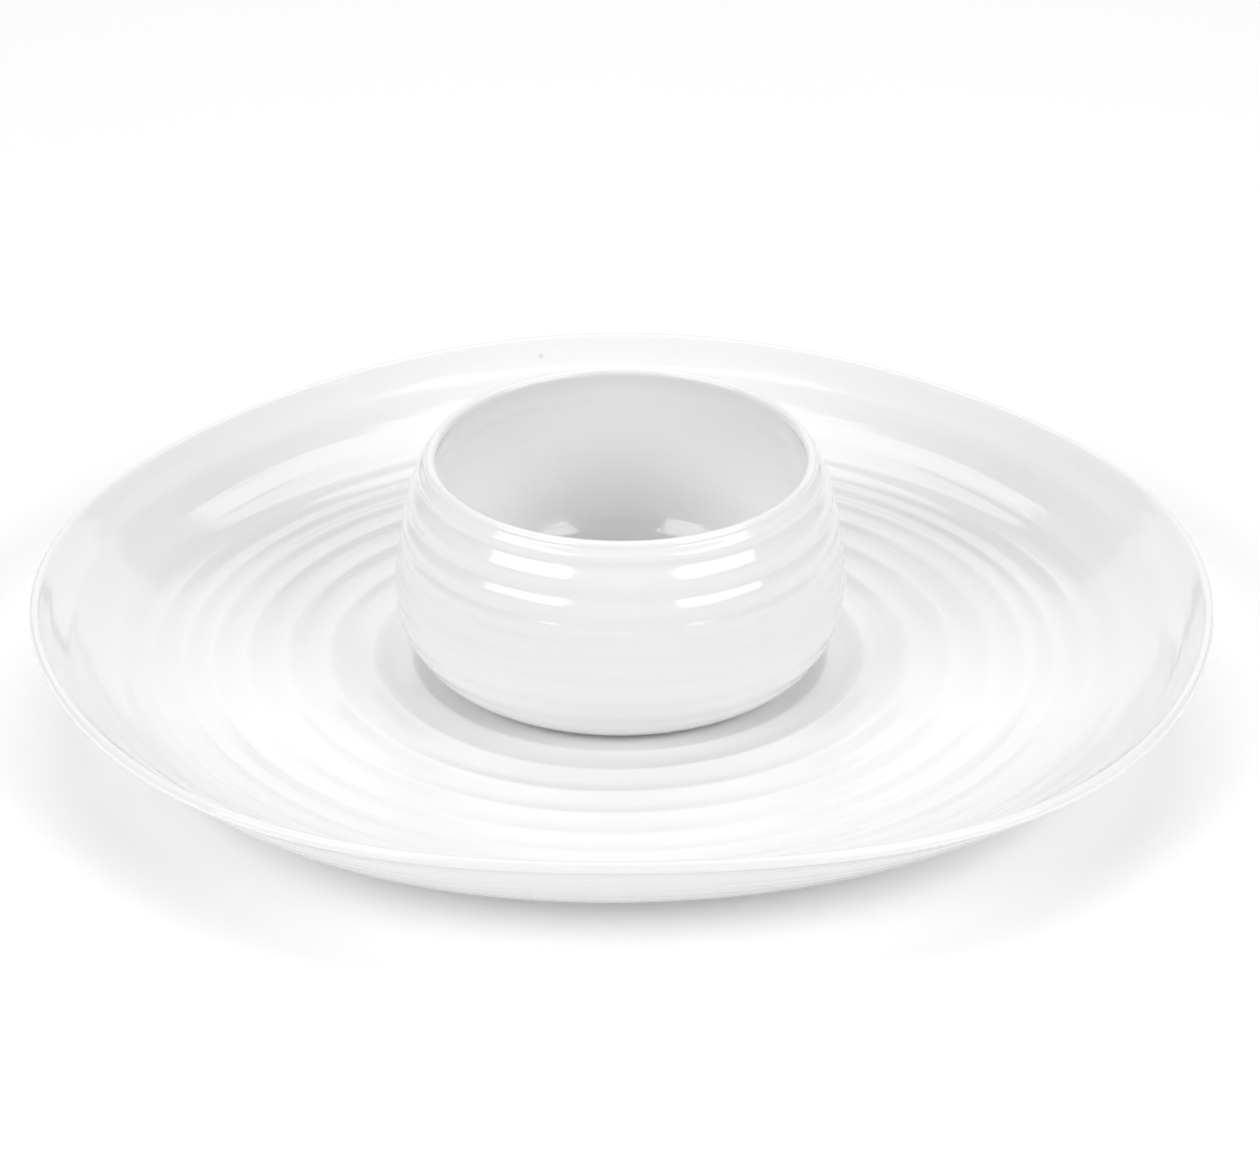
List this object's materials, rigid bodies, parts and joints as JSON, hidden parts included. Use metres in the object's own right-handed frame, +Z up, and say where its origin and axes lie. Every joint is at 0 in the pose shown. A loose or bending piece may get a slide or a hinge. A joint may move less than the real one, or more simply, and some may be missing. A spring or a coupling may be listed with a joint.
{
  "type": "chip and dip server",
  "caption": "Round rippled serving platter with a shallow central well and a separate round dip bowl that stands in the well and lifts off.",
  "frame": {"origin": "middle of the platter's foot ring, on the surface it stands on", "axes": "+Z up along the shared axis of the platter and the bowl; +X and +Y level and interchangeable"},
  "size_m": [0.33, 0.33, 0.0711],
  "materials": {
    "platter_glaze": "clear gloss glaze over white porcelain",
    "bowl_glaze": "clear gloss glaze over white porcelain"
  },
  "bodies": {
    "platter": {"serving_platter": "platter_glaze"},
    "bowl": {"dip_bowl": "bowl_glaze"}
  },
  "joints": [
    {"name": "bowl_lift", "type": "slide", "parent": "platter", "child": "bowl", "axis": [0, 0, 1], "range_m": [0, 0.12]}
  ]
}
